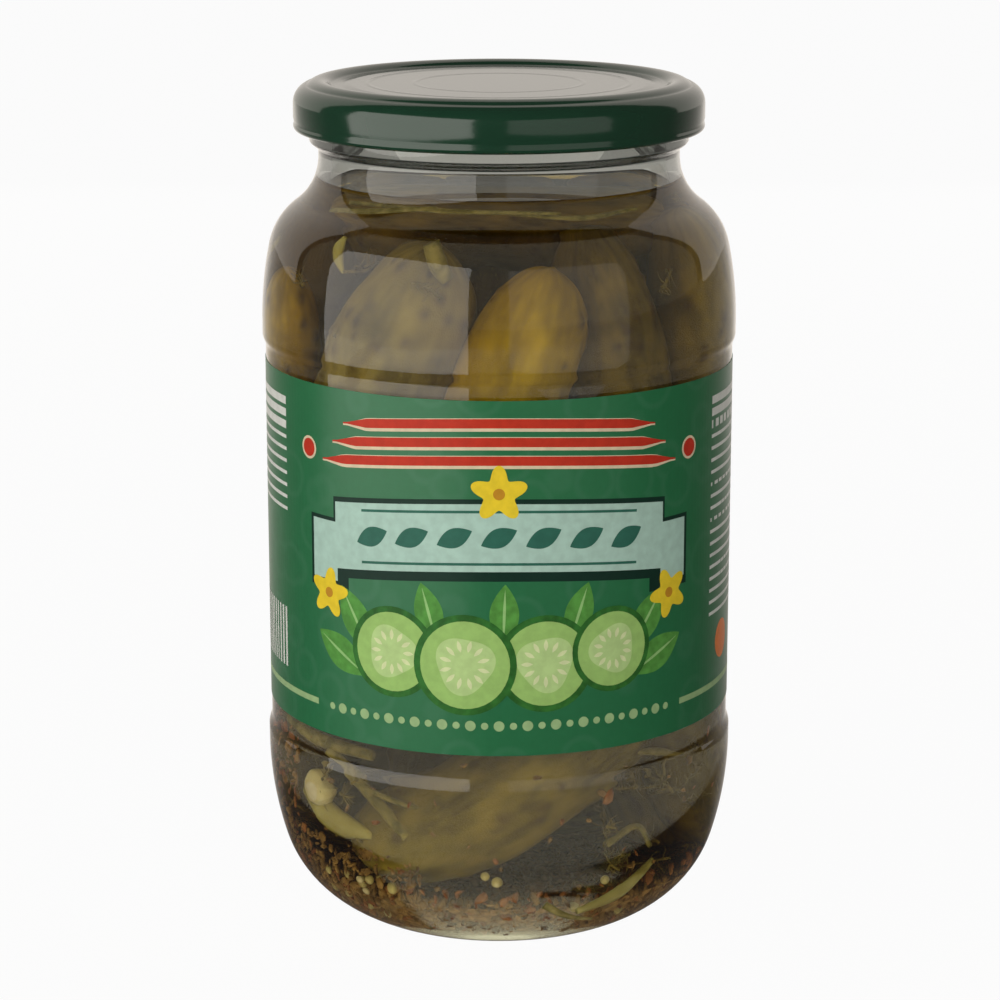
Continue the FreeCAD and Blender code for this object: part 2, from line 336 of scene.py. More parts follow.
def make_brine():
    """Pickling brine: water with the yellow-olive of the cucumbers, which soaks up blue."""
    material, tree, shader, output = start("brine")
    finish(shader, Base_Color=(0.97, 0.92, 0.7, 1), Roughness=0.0, IOR=1.34, Transmission_Weight=1.0)
    soak = add(tree, "ShaderNodeVolumeAbsorption", Color=(0.68, 0.56, 0.08, 1), Density=58.0)
    tree.links.new(soak.outputs[0], output.inputs["Volume"])
    let_light_in(tree, shader, output, (0.97, 0.92, 0.7, 1))
    return material


glass = make_glass()
brine = make_brine()

# %% [markdown]
# ## The glass jar
# One closed surface: out along the domed base, up the outer side with its sunk panel for
# the label, over the bead and the rim, and down the inside to the floor.

# %% The jar's outline
PUSH_UP = 3.0
FOOT_WIDTH = 2.5
PANEL_LOW, PANEL_HIGH = 41.4, 127.6
PANEL_DEPTH = 0.65
PANEL_SLOPE = 2.2
BEAD_RADIUS = 39.7
BEAD_LOW, BEAD_RISE = 166.2, 2.1
RIM_ROUND = 0.8


def soft_step(x):
    """Smooth rise from 0 to 1 as x goes from 0 to 1: x squared times (3 - 2x)."""
    x = np.clip(x, 0, 1)
    return x * x * (3 - 2 * x)


def sunk_panel(outline):
    """Outline with the panel pressed in: less radius between its two sloping ends."""
    level = np.linspace(PANEL_LOW - 0.5, PANEL_HIGH + 0.5, 160)
    level = level[(level < PANEL_LOW + 4) | (level > PANEL_HIGH - 4)]
    radius = np.interp(level, outline[:, 1], outline[:, 0])
    rise = soft_step((level - PANEL_LOW) / PANEL_SLOPE)
    fall = soft_step((PANEL_HIGH - level) / PANEL_SLOPE)
    radius = radius - PANEL_DEPTH * rise * fall
    below = outline[outline[:, 1] < level[0]]
    above = outline[outline[:, 1] > level[-1]]
    return chain(below, np.column_stack([radius, level]), above)


def glass_outline():
    """From the pole under the base, round the whole wall, to the pole on the inside floor."""
    ring = FOOT_RADIUS - FOOT_WIDTH
    base = chain([0, PUSH_UP], [ring - 9, PUSH_UP * 0.93], [ring - 3, PUSH_UP * 0.45], [ring, 0.0])
    swell = np.linspace(0, 1, 9)
    bead = np.column_stack([NECK_RADIUS + (BEAD_RADIUS - NECK_RADIUS) * soft_step(swell),
                            BEAD_LOW + BEAD_RISE * swell])
    bore = NECK_RADIUS - WALL
    top = RIM - RIM_ROUND
    return chain(
        base,
        sunk_panel(outside),
        bead,
        arc([BEAD_RADIUS - RIM_ROUND, top], RIM_ROUND, 0, 90, 5),
        arc([bore + RIM_ROUND, top], RIM_ROUND, 90, 180, 5),
        inside[::-1],
        [0, FLOOR + THICK_FLOOR],
    )


jar_outline = glass_outline()
piece("glass_jar", turned(jar_outline, 256), glass, replaces=["jar"])

# %% [markdown]
# ## The brine
# Liquid in glass must leave no film of air between them, or the wall turns to a mirror.
# So the brine's surface runs a third of a millimetre inside the glass, and its top
# climbs a little at the wall, as water does.

# %% The brine
SOAK_IN = 0.35


def brine_outline():
    """The inside outline pushed out into the wall, cut at the fill level with a raised edge."""
    bed = inside[0, 1] - SOAK_IN
    wet = side_outline(WALL - SOAK_IN, bed, THICK_CORNER)
    edge = np.interp(FILL, inside[:, 1], inside[:, 0])
    wet = wet[wet[:, 1] < FILL]
    climb = np.linspace(0, 1, 9)[1:]
    surface = np.column_stack([edge - 5.0 * climb ** 1.5 + 0.3, FILL - 1.1 * (1 - (1 - climb) ** 2)])
    return chain([0, bed], wet, [edge + SOAK_IN, FILL], surface, [0, FILL - 1.1])


piece("brine", turned(brine_outline(), 192), brine, replaces=["contents"])

# %% [markdown]
# ## Cucumber skin
# A pickled cucumber is olive, lighter in streaks from its flower end, blotched, and
# carries warts that are darker than the skin. The pattern follows the cucumber, so each mesh
# carries its own two attributes: where on the skin a point is, and how much wart it holds.

# %% Skin of the cucumbers
def make_skin_group():
    """Colour and height of cucumber skin from the attributes skin_place and wart."""
    tree, given, out = group("cucumber_skin", [
        ("Deep", "NodeSocketColor", (0.05, 0.045, 0.008, 1)),
        ("Light", "NodeSocketColor", (0.25, 0.2, 0.03, 1)),
        ("Ripe", "NodeSocketFloat", 0.5),
    ], [("Color", "NodeSocketColor"), ("Height", "NodeSocketFloat")])
    where = add(tree, "ShaderNodeAttribute", attribute_name="skin_place")
    wart = add(tree, "ShaderNodeAttribute", attribute_name="wart")
    stretch = add(tree, "ShaderNodeVectorMath", {0: where.outputs["Vector"]}, operation="MULTIPLY")
    stretch.inputs[1].default_value = (1, 1, 0.45)
    streak = noise(tree, stretch.outputs[0], 3.2, 3.0)
    blotch = noise(tree, where.outputs["Vector"], 1.3, 2.0)
    speck = noise(tree, where.outputs["Vector"], 34.0, 2.0)
    ripe = reckon(tree, "ADD", reckon(tree, "ADD", streak, blotch), given.outputs["Ripe"])
    ramp = add(tree, "ShaderNodeMapRange", {"Value": ripe}, From_Min=1.15, From_Max=1.95)
    skin = blend(tree, ramp.outputs[0], given.outputs["Deep"], given.outputs["Light"])
    dots = add(tree, "ShaderNodeMapRange", {"Value": speck}, From_Min=0.56, From_Max=0.75, To_Max=0.45)
    pale = blend(tree, dots.outputs[0], skin, (0.42, 0.31, 0.05))
    dark = reckon(tree, "MULTIPLY", wart.outputs["Fac"], 0.8)
    tree.links.new(blend(tree, dark, pale, (0.07, 0.035, 0.014)), out.inputs["Color"])
    tree.links.new(speck, out.inputs["Height"])
    return tree


def make_skin(name, deep, light, ripe):
    """One cucumber's skin: wet, so smooth, but with little shine because it lies in brine."""
    material, tree, shader, _ = start(name)
    node = place(tree, "cucumber_skin", Deep=(*deep, 1), Light=(*light, 1), Ripe=ripe)
    raise_up(tree, shader, node.outputs["Height"], 0.35, 0.0004)
    tree.links.new(node.outputs["Color"], shader.inputs["Base Color"])
    finish(shader, Roughness=0.42, IOR=1.12)
    return material


make_skin_group()
skins = {
    "olive": make_skin("skin_olive", (0.08, 0.055, 0.008), (0.4, 0.29, 0.05), 0.5),
    "yellow": make_skin("skin_yellow", (0.2, 0.12, 0.001), (0.68, 0.45, 0.008), 0.66),
    "dark": make_skin("skin_dark", (0.07, 0.05, 0.01), (0.27, 0.19, 0.035), 0.48),
    "greyed": make_skin("skin_greyed", (0.12, 0.085, 0.012), (0.46, 0.34, 0.08), 0.52),
}
print("skins", sorted(skins))

# %% [markdown]
# ## Cucumbers
# A cucumber is a bent tube with blunt ends, slightly three-sided, with scattered warts. All
# of it is one formula on a grid, so that each one can differ in length, girth, bend and
# number of warts without being sculpted by hand.

# %% The shape of a cucumber
def cucumber(start_point, end_point, girth, bend, seed, warts=46, blunt=4.6):
    """Bent tube from one end to the other.

    Half width = girth / 2 * (1 - |2v - 1| ** blunt) ** 0.5, times a three-sided swell
    1 + 0.035 cos(3u) and slow waves. Each wart adds a Gaussian hill. The spine is the
    straight line plus 4 v (1 - v) * bend.
    """
    draw = np.random.default_rng(seed)
    rows, columns = 84, 72
    a, b, sag = (np.asarray(p, float) for p in (start_point, end_point, bend))
    length = np.linalg.norm(b - a)
    v = 0.5 - 0.5 * np.cos(np.linspace(0.06, np.pi - 0.06, rows))
    u = np.linspace(0, 2 * np.pi, columns, endpoint=False)
    spine = a + v[:, None] * (b - a) + 4 * (v * (1 - v))[:, None] * sag
    tangent = np.gradient(spine, axis=0)
    tangent /= np.linalg.norm(tangent, axis=1)[:, None]
    side = np.cross(tangent, [0.31, 0.87, 0.38])
    side /= np.linalg.norm(side, axis=1)[:, None]
    other = np.cross(tangent, side)
    profile = np.sqrt(1 - np.abs(2 * v - 1) ** blunt) * (1 + 0.05 * np.sin(3.1 * v + draw.uniform(0, 6)))
    phase = draw.uniform(0, 6, 4)
    swell = (1 + 0.035 * np.cos(3 * u + phase[0])
             + 0.015 * np.cos(5 * u + 4 * v[:, None] + phase[1])
             + 0.03 * np.sin(9 * v[:, None] + 2 * np.cos(u + phase[2]))
             + 0.02 * np.sin(17 * v[:, None] + 3 * np.sin(u + phase[3])))
    radius = girth / 2 * profile[:, None] * swell
    wart_v = draw.uniform(0.04, 0.96, warts)
    wart_u = draw.uniform(0, 2 * np.pi, warts)
    wart_size = draw.uniform(0.8, 1.5, warts)
    across = (u[None, :, None] - wart_u + np.pi) % (2 * np.pi) - np.pi
    across = across * radius[:, :, None]
    along = (v[:, None, None] - wart_v) * length
    hill = np.exp(-(across ** 2 + along ** 2) / wart_size ** 2)
    height = 0.6 * hill.sum(axis=-1)
    radius = radius + height * np.minimum(1, profile * 2)[:, None]
    grid = (spine[:, None, :] + radius[:, :, None]
            * (np.cos(u)[None, :, None] * side[:, None, :] + np.sin(u)[None, :, None] * other[:, None, :]))
    shape = closed_tube(grid, [spine[0] - 0.4 * tangent[0]], [spine[-1] + 0.4 * tangent[-1]])
    place_on_skin = np.stack([
        np.cos(u)[None, :] + 0 * v[:, None] + seed,
        np.sin(u)[None, :] + 0 * v[:, None],
        (v[:, None] * length / girth * 2) + 0 * u[None, :],
    ], axis=-1).reshape(-1, 3)
    poles = place_on_skin[[0, -1]]
    mask = np.clip(hill.max(axis=-1), 0, 1).ravel()
    attributes = {"skin_place": np.vstack([place_on_skin, poles]), "wart": np.append(mask, [0, 0])}
    return shape, attributes


# %% [markdown]
# One layer stands in the upper half and one lies and leans in the lower half. The outer ones
# press against the glass, and some neighbours run into each other by a few millimetres. Each
# line below is one cucumber: its two ends, girth, bend, skin and number of warts. Those in the
# core and at the back are only a rough filling, which stops the eye behind the front ones.

# %% Every cucumber in the jar
CUCUMBERS = [
    # upper layer, front
    ("bumpy", (-33, -9, 86), (-11, -30, 148), 25.5, (-1, -5, 0), "greyed", 120),
    ("golden", (-17, -30, 80), (10, -31, 145), 22.5, (2, -4, 0), "yellow", 40),
    ("slim", (28, -19, 82), (15, -20, 148), 20.0, (1, -2, 0), "olive", 40),
    ("edge_right", (35, -2, 82), (32, -4, 149), 21.0, (2, -1, 0), "greyed", 44),
    ("edge_left", (-38, -1, 78), (-37, -6, 141), 16.0, (0, 0, 0), "yellow", 30),
    # upper layer, back
    ("back_left", (-25, 24, 80), (-21, 22, 153), 24.0, (-2, 2, 0), "greyed", 52),
    ("back_middle", (3, 34, 78), (-2, 30, 153), 23.0, (0, 1, 0), "olive", 44),
    ("back_right", (28, 21, 84), (24, 19, 154), 23.0, (2, 3, 0), "yellow", 40),
    ("core_high", (3, 2, 80), (-2, 3, 150), 24.0, (0, 0, 0), "dark", 40),
    ("cross_high", (-29, -2, 148), (29, -4, 147), 18.0, (0, -4, 1), "greyed", 44),
    # lower layer
    ("lying_front", (-26, -22, 22), (28, -21, 57), 24.0, (0, -12, -2), "olive", 48),
    ("lying_right", (37, 4, 18), (14, -24, 74), 21.0, (5, -3, 0), "dark", 40),
    ("lying_left", (-34, 8, 22), (-24, -8, 82), 23.0, (-2, -2, 0), "dark", 44),
    ("low_back", (-26, 24, 20), (32, 20, 31), 24.0, (0, 9, -2), "olive", 48),
    ("low_back_top", (28, 27, 62), (-28, 25, 56), 22.0, (0, 6, 0), "greyed", 40),
    ("core_low", (-8, 4, 20), (6, 2, 82), 26.0, (0, 0, 0), "dark", 40),
    ("core_right", (27, 2, 16), (22, 10, 84), 24.0, (0, 0, 0), "olive", 40),
]
for number, (name, low, high, girth, bend, skin, warts) in enumerate(CUCUMBERS):
    shape, attributes = cucumber(low, high, girth, bend, 11 + number, warts)
    piece(f"cucumber_{name}", shape, skins[skin], attributes=attributes)

# %% [markdown]
# ## Herbs and spice
# Dill is mostly stem: bundles of thin round stalks with hair-fine leaves. A stalk is a tube
# swept along a curve, so one sweep helper makes stems, twigs and leaves at their own
# thickness, and several of them join into one mesh.

# %% Sweeping and joining
def sweep(points, radii, sides=10, steps=24):
    """Round tube along a smooth curve through the points, its radius running through radii."""
    points = np.asarray(points, float)
    knots = np.linspace(0, 1, len(points))
    t = np.linspace(0, 1, steps)
    level = np.clip(np.searchsorted(knots, t, side="right") - 1, 0, len(points) - 2)
    local = (t - knots[level]) / (knots[1] - knots[0])
    padded = np.vstack([2 * points[0] - points[1], points, 2 * points[-1] - points[-2]])
    p0, p1, p2, p3 = (padded[level + k] for k in range(4))
    s = local[:, None]
    spine = 0.5 * (2 * p1 + (p2 - p0) * s + (2 * p0 - 5 * p1 + 4 * p2 - p3) * s ** 2
                   + (3 * p1 - p0 - 3 * p2 + p3) * s ** 3)
    tangent = np.gradient(spine, axis=0)
    tangent /= np.linalg.norm(tangent, axis=1)[:, None]
    side = np.cross(tangent, [0.28, 0.41, 0.87])
    side /= np.linalg.norm(side, axis=1)[:, None]
    other = np.cross(tangent, side)
    radius = np.interp(t, np.linspace(0, 1, len(radii)), radii)
    u = np.linspace(0, 2 * np.pi, sides, endpoint=False)
    ring = np.cos(u)[None, :, None] * side[:, None] + np.sin(u)[None, :, None] * other[:, None]
    grid = spine[:, None] + radius[:, None, None] * ring
    return closed_tube(grid, [spine[0]], [spine[-1]])


def joined(shapes):
    """Several shapes as one: their vertices stacked, and each one's faces counted on."""
    vertices = [shape[0] for shape in shapes]
    start_at = np.cumsum([0] + [len(v) for v in vertices[:-1]])
    faces = [[corner + int(first) for corner in face] for shape, first in zip(shapes, start_at)
             for face in shape[1]]
    return np.vstack(vertices), faces


def scattered(template, places, sizes, seed):
    """Copies of a template: turned at random, scaled by sizes (n x 3), then moved to places."""
    draw = np.random.default_rng(seed)
    count = len(places)
    q = draw.normal(size=(count, 4))
    w, x, y, z = (q / np.linalg.norm(q, axis=1)[:, None]).T
    turn = np.stack([
        1 - 2 * (y * y + z * z), 2 * (x * y - z * w), 2 * (x * z + y * w),
        2 * (x * y + z * w), 1 - 2 * (x * x + z * z), 2 * (y * z - x * w),
        2 * (x * z - y * w), 2 * (y * z + x * w), 1 - 2 * (x * x + y * y),
    ], axis=-1).reshape(-1, 3, 3)
    vertices, faces = template
    moved = np.einsum("nij,nvj->nvi", turn, vertices[None] * sizes[:, None]) + places[:, None]
    first = np.arange(count) * len(vertices)
    faces = [[corner + int(k) for corner in face] for k in first for face in faces]
    return moved.reshape(-1, 3), faces


def ball(rows=8, columns=12, dent=0.0):
    """Unit sphere of rows by columns; dent flattens it unevenly, 1 + dent sin(2a) cos(3b)."""
    v = np.linspace(0, np.pi, rows + 2)[1:-1, None]
    u = np.linspace(0, 2 * np.pi, columns, endpoint=False)[None, :]
    radius = 1 + dent * np.sin(2 * u) * np.cos(3 * v)
    grid = np.stack([radius * np.sin(v) * np.cos(u), radius * np.sin(v) * np.sin(u),
                     -radius * np.cos(v) + 0 * u], axis=-1)
    return closed_tube(grid, [[0, 0, -1.0]], [[0, 0, 1.0]])


def against_glass(count, low, high, depth, seed, turn_from=-180.0, turn_to=180.0):
    """Random places just inside the glass: heights low to high, up to depth in from the wall.

    The wall's radius at a height is read off the inside outline, so the places follow the
    heel's round. Angle 0 is the front.
    """
    draw = np.random.default_rng(seed)
    height = draw.uniform(low, high, count)
    wall = np.interp(height, inside[:, 1], inside[:, 0])
    radius = wall - draw.uniform(0.6, depth, count)
    angle = np.radians(draw.uniform(turn_from, turn_to, count))
    return np.column_stack([radius * np.sin(angle), -radius * np.cos(angle), height])


def plant(name, low, high, rough=0.5, scale=260.0, bump=0.3, soft=0.0):
    """Material of a herb or spice: two colours mixed by a fine noise, with a matching bump."""
    material, tree, shader, _ = start(name)
    grain = noise(tree, here(tree), scale, 3.0)
    spread = add(tree, "ShaderNodeMapRange", {"Value": grain}, From_Min=0.35, From_Max=0.65)
    tree.links.new(blend(tree, spread.outputs[0], low, high), shader.inputs["Base Color"])
    raise_up(tree, shader, grain, bump, 0.0004)
    finish(shader, Roughness=rough, IOR=1.3, Subsurface_Weight=soft,
           Subsurface_Radius=(0.002, 0.0015, 0.0006))
    return material


# %% [markdown]
# The stalks lie where the jar was packed loosely, at the lower left, and a few pieces float
# near the top. Each row is a curve and its radii in millimetres.

# %% Dill stalks
STALKS = [
    ([(-34, -29, 44), (-27, -34, 38), (-18, -40.5, 29)], [1.5, 1.3, 1.5]),
    ([(-28, -34, 38), (-20, -39, 36), (-6, -43.5, 33.5)], [0.7, 0.6, 0.4]),
    ([(-42, -16, 47), (-36, -26, 45.5), (-25, -36, 45)], [1.5, 1.8, 1.2]),
    ([(9, -40, 14.5), (14, -39, 11), (19, -35, 9)], [0.9, 0.8, 0.4]),
    ([(21, -35, 26), (27, -33, 29), (30, -31, 24)], [0.9, 0.7, 0.6]),
    ([(-13, -37.5, 151), (-11.6, -38, 147.5), (-9.6, -38.5, 144.5)], [1.7, 1.9, 1.4]),
    ([(-29, -22, 157), (-10, -35, 157.6), (12, -35, 157)], [0.5, 0.6, 0.4]),
    ([(2, -34, 156.5), (16, -33, 155.5), (27, -26, 156.5)], [0.4, 0.7, 0.5]),
    ([(-34, -22, 156), (-25, -30, 157), (-12, -34, 158)], [0.6, 0.7, 0.5]),
    ([(-40, 12, 130), (-42, 5, 140), (-41, -6, 146)], [0.8, 0.9, 0.6]),
    ([(32, 30, 20), (20, 39, 24), (2, 43, 30)], [1.2, 1.1, 0.9]),
    ([(-30, 32, 110), (-20, 39, 128), (-4, 43, 140)], [1.1, 1.0, 0.8]),
    ([(36, -22, 40), (31, -30, 44), (20, -37, 46)], [0.8, 0.9, 0.5]),
]
stalk = plant("dill_stalk", (0.15, 0.12, 0.03), (0.34, 0.27, 0.09), scale=420.0, bump=0.4)
piece("dill_stalks", joined([sweep(*row) for row in STALKS]), stalk)


# %% [markdown]
# Dill leaf is a stalk that splits again and again into threads. Drawn as thin tubes, one
# frond is a stem with side threads, all bending a little differently.

# %% Dill leaf
def frond(root, tip, threads, reach, draw):
    """Stem from root to tip with threads along it, each a short curve to a random side."""
    root, tip = np.asarray(root, float), np.asarray(tip, float)
    shapes = [sweep([root, (root + tip) / 2 + draw.normal(size=3) * 0.6, tip], [0.35, 0.2], 6, 10)]
    for t in np.linspace(0.15, 1, threads):
        base = root + t * (tip - root)
        way = draw.normal(size=3) + 0.8 * (tip - root) / np.linalg.norm(tip - root)
        way *= reach * (1.2 - 0.6 * t) / np.linalg.norm(way)
        bend = draw.normal(size=3) * reach * 0.12
        shapes.append(sweep([base, base + way / 2 + bend, base + way], [0.17, 0.07], 5, 6))
    return joined(shapes)


draw = np.random.default_rng(5)
roots = np.vstack([
    against_glass(34, 9, 20, 3, 21),
    against_glass(12, 24, 48, 4, 22, -100, -30),
    against_glass(26, 16, 48, 5, 23, 20, 100),
    against_glass(8, 130, 156, 4, 24),
])
inward = roots * np.array([0.93, 0.93, 1.0]) + draw.normal(size=roots.shape) * np.array([4.5, 4.5, 3.0])
reach_out = np.linalg.norm(inward[:, :2], axis=1) / np.interp(inward[:, 2], inside[:, 1], inside[:, 0] - 2)
inward[:, :2] /= np.maximum(reach_out, 1)[:, None]
leaf = plant("dill_leaf", (0.11, 0.08, 0.018), (0.3, 0.22, 0.06), rough=0.6)
piece("dill_leaves", joined([frond(a, b, 12, 3.2, draw) for a, b in zip(roots, inward)]), leaf)

# %% [markdown]
# Spice sinks. Flakes of pepper and seed husk lie in the round of the heel and on the floor,
# thickest at the front left, and some cling further up. A flake is a flattened, dented ball.

# %% Spice flakes
def on_floor(count, low, high, seed):
    """Random places over the inside floor, evenly spread, at heights low to high."""
    draw = np.random.default_rng(seed)
    radius = (FOOT_RADIUS + 9) * np.sqrt(draw.uniform(0, 1, count))
    angle = draw.uniform(0, 2 * np.pi, count)
    return np.column_stack([radius * np.cos(angle), radius * np.sin(angle), draw.uniform(low, high, count)])


def flakes(name, places, size, material, seed, flat=0.3):
    """Scatter of flattened dented balls: size is the usual length in mm, flat their thickness."""
    draw = np.random.default_rng(seed)
    scale = size / 2 * draw.lognormal(0, 0.3, (len(places), 1)) * np.array([[1.0, 0.7, flat]])
    return piece(name, scattered(ball(4, 7, 0.3), places, scale, seed), material)


heel_places = against_glass(1300, 8.6, 15, 2.0, 31)
front_left = against_glass(300, 12, 24, 2.0, 32, -85, -22)
left_edge = against_glass(420, 12, 46, 1.6, 37, -115, -62)
clinging = against_glass(120, 15, 48, 2, 33)
floor_places = on_floor(900, 10.2, 12.8, 34)
brown = plant("spice_brown", (0.15, 0.075, 0.022), (0.42, 0.23, 0.075), rough=0.6, scale=300)
flakes("spice_brown", np.vstack([heel_places, front_left, left_edge[:280], clinging[:80],
                                 floor_places]), 1.7, brown, 41)
red = plant("spice_red", (0.22, 0.07, 0.02), (0.44, 0.17, 0.055), rough=0.5, scale=300)
flakes("spice_red", np.vstack([against_glass(330, 8.6, 17, 2, 35), left_edge[280:], clinging[80:],
                               against_glass(20, 40, 56, 1.5, 36, -88, -62)]), 1.9, red, 42)

# %% [markdown]
# Under the loose flakes lies a bed of the same stuff, too dense to see through. Its colours are
# painted lighter than the flakes', against the shade it lies in. It is one lumpy cushion: its
# underside follows the glass, its top is a sum of waves.

# %% The bed of spice
def spice_bed(rows=40, columns=160):
    """Cushion on the inside floor: bottom 0.4 mm off the glass, top 3 mm higher and uneven."""
    floor_part = inside[inside[:, 1] < inside[0, 1] + 6.5]
    share = np.linspace(0, 1, rows)
    reach = floor_part[-1, 0] - 0.5
    radius = reach * share[1:]
    low = np.interp(radius, np.concatenate([[0], floor_part[:, 0] - 0.4]),
                    np.concatenate([[floor_part[0, 1]], floor_part[:, 1]])) + 0.45
    angle = np.linspace(0, 2 * np.pi, columns, endpoint=False)
    x, y = radius[:, None] * np.cos(angle), radius[:, None] * np.sin(angle)
    lumps = 0.5 * np.sin(0.9 * x + 1.3 * np.sin(0.7 * y)) + 0.4 * np.sin(1.7 * y + 1.1 * np.sin(1.3 * x))
    high = low[:, None] + (3.0 + lumps) * (1 - share[1:, None] ** 6) + 0.05
    under = np.stack([x, y, low[:, None] + 0 * x], axis=-1)
    over = np.stack([x, y, high], axis=-1)
    grid = np.concatenate([under, over[::-1]])
    return closed_tube(grid, [[0, 0, low[0]]], [[0, 0, high[0].mean()]])


# Painted light: the bed's two colours are lighter than the loose flakes' to make up for the shade it lies
# in.
bed_painted_lighter = plant("spice_bed", (0.2, 0.09, 0.03), (0.55, 0.3, 0.11), rough=0.7, scale=650.0, bump=0.6)
piece("spice_bed", spice_bed(), bed_painted_lighter)

# %% [markdown]
# Mustard seeds are small round balls, cream to brown. They are the same mesh at about
# 1.9 mm, scattered thinly among the flakes.

# %% Mustard seeds
seed_places = np.vstack([
    against_glass(50, 9.5, 18, 3, 51), against_glass(7, 16, 26, 1.6, 52),
    [(-27.4, -34.2, 14.5), (-28.6, -34.2, 17.0)],
])
mustard = plant("mustard_seed", (0.42, 0.3, 0.1), (0.72, 0.6, 0.3), rough=0.4, scale=190)
draw = np.random.default_rng(53)
seed_size = np.repeat(draw.uniform(0.8, 1.15, (len(seed_places), 1)), 3, axis=1)
piece("mustard_seeds", scattered(ball(8, 12), seed_places, seed_size, 54), mustard)

# %% [markdown]
# A garlic clove is a plump crescent, pointed at both ends and creamy white; pale slivers
# beside it are cut from the cucumber's flesh. Both are sweeps whose radius runs through a
# list, so the point, the belly and the root end come from five numbers.

# %% Garlic and slivers
clove = sweep([(-33.8, -25, 38.5), (-35.2, -25.5, 35), (-34, -26, 30.5)], [0.4, 3.1, 4.3, 3.7, 0.8], 20, 30)
garlic = plant("garlic", (0.5, 0.4, 0.2), (0.74, 0.64, 0.42), rough=0.35, scale=120, soft=0.3)
piece("garlic_clove", clove, garlic)
slivers = joined([
    sweep([(-38, -21, 33), (-32, -28, 28.5), (-25, -35, 27.5)], [1.2, 3.0, 2.6, 0.8], 14, 24),
    sweep([(-30, -29.5, 151), (-31, -29, 148), (-29.6, -30, 144.5)], [0.5, 1.3, 1.1, 0.3], 12, 20),
    sweep([(16, -39, 12), (24, -33, 15), (30, -27, 20)], [0.9, 1.6, 0.7], 12, 20),
])
flesh = plant("cucumber_flesh", (0.26, 0.21, 0.05), (0.44, 0.37, 0.13), rough=0.35, scale=90, soft=0.3)
piece("cucumber_slivers", slivers, flesh)

# %% [markdown]
# ## The lid
# The lid is one sheet of tinplate pressed in a die: a rolled hem, an upright skirt, a round
# shoulder, a raised ring over the sealing compound, and a shallow panel with stepped rings.
# Its outline is drawn on both faces, so the sheet has its true half millimetre.

# %% The lid
def lid_outline():
    """Section of the lid from the axis on top, out, down and round the hem, and back below."""
    skirt, shoulder, sheet, curl = LID_RADIUS, 4.0, 0.5, 0.95
    top = RIM + sheet
    low, foot_out, foot_in, bow = top - 0.4, 40.05, 35.0, 3.45
    half = (foot_out - foot_in) / 2
    rise = bow - math.sqrt(bow ** 2 - half ** 2)
    spread = math.degrees(math.asin(half / bow))
    ridge = arc([foot_in + half, top - 0.3 + rise - bow], bow, 90 + spread, 90 - spread, 14)
    steps = np.linspace(0, 31.0, 94)
    ring = 0.09 * np.exp(-((steps - 27.2) / 0.35) ** 2) + 0.07 * np.exp(-((steps - 17.5) / 0.35) ** 2)
    middle = np.column_stack([steps, low + 0.2 + ring])
    return chain(
        middle,
        [31.4, low + 0.17], [32.6, low + 0.03], [33.0, low], [34.2, low], [34.7, low + 0.06],
        ridge,
        [40.35, top - 0.28],
        arc([skirt - shoulder, top - shoulder], shoulder, 68, 0, 10),
        [skirt, LID_LOW + 2.6], [skirt - 0.12, LID_LOW + 2.15],
        arc([skirt - curl, LID_LOW + curl], curl, 30, -200, 16),
        [skirt - sheet, LID_LOW + 2.6],
        [skirt - sheet, top - shoulder],
        arc([skirt - shoulder, top - shoulder], shoulder - sheet, 0, 90, 8),
        [34.35, RIM], [34.35, low - sheet], [33.0, low - sheet], [31.0, low - sheet + 0.2],
        [0, low - sheet + 0.2],
    )


def make_lid_paint():
    """Dark green lacquer: an even pigment coat, a whisper of orange peel, and clear gloss."""
    material, tree, shader, _ = start("lid_lacquer")
    where = here(tree)
    cloud = noise(tree, where, 45.0, 2.0)
    shade = blend(tree, cloud, (0.006, 0.034, 0.017), (0.008, 0.042, 0.022))
    tree.links.new(shade, shader.inputs["Base Color"])
    raise_up(tree, shader, noise(tree, where, 900.0, 1.0), 0.03, 0.0002)
    finish(shader, Roughness=0.12, IOR=1.6)
    return material


piece("lid_shell", turned(lid_outline()[::-1], 256), make_lid_paint(), replaces=["lid"])

# %% [markdown]
# ## The label
# The label is a paper sleeve printed green. Faint rings in a slightly lighter green cover the
# whole sheet. The sleeve is a closed ring in section: four corners turned once round.

# %% The label sleeve
def ring_around(corners, columns=256):
    """Closed section turned about the axis, with no poles because it never meets the axis."""
    corners = np.asarray(corners, float)
    angle = np.linspace(0, 2 * np.pi, columns, endpoint=False)
    grid = np.stack([
        corners[:, :1] * np.cos(angle), corners[:, :1] * np.sin(angle),
        np.repeat(corners[:, 1:], columns, axis=1)], axis=-1)
    rows = len(corners)
    faces = tube_faces(rows + 1, columns) % (rows * columns)
    return grid.reshape(-1, 3), faces.tolist()


def make_paper():
    """Green printed paper: faint rings all over, a fine grain, and a half gloss."""
    material, tree, shader, _ = start("label_green")
    where = here(tree)
    cell = add(tree, "ShaderNodeTexVoronoi", {"Vector": where}, Scale=95.0)
    width = reckon(tree, "ABSOLUTE", reckon(tree, "SUBTRACT", cell.outputs["Distance"], 0.42))
    ring = add(tree, "ShaderNodeMapRange", {"Value": width}, From_Min=0.02, From_Max=0.09,
               To_Min=1.0, To_Max=0.0)
    grain = noise(tree, where, 700.0, 3.0)
    base = blend(tree, grain, (0.014, 0.135, 0.05), (0.017, 0.158, 0.06))
    printed = blend(tree, reckon(tree, "MULTIPLY", ring.outputs[0], 0.22), base, (0.06, 0.2, 0.11))
    tree.links.new(printed, shader.inputs["Base Color"])
    raise_up(tree, shader, grain, 0.05, 0.0002)
    finish(shader, Roughness=0.32)
    return material


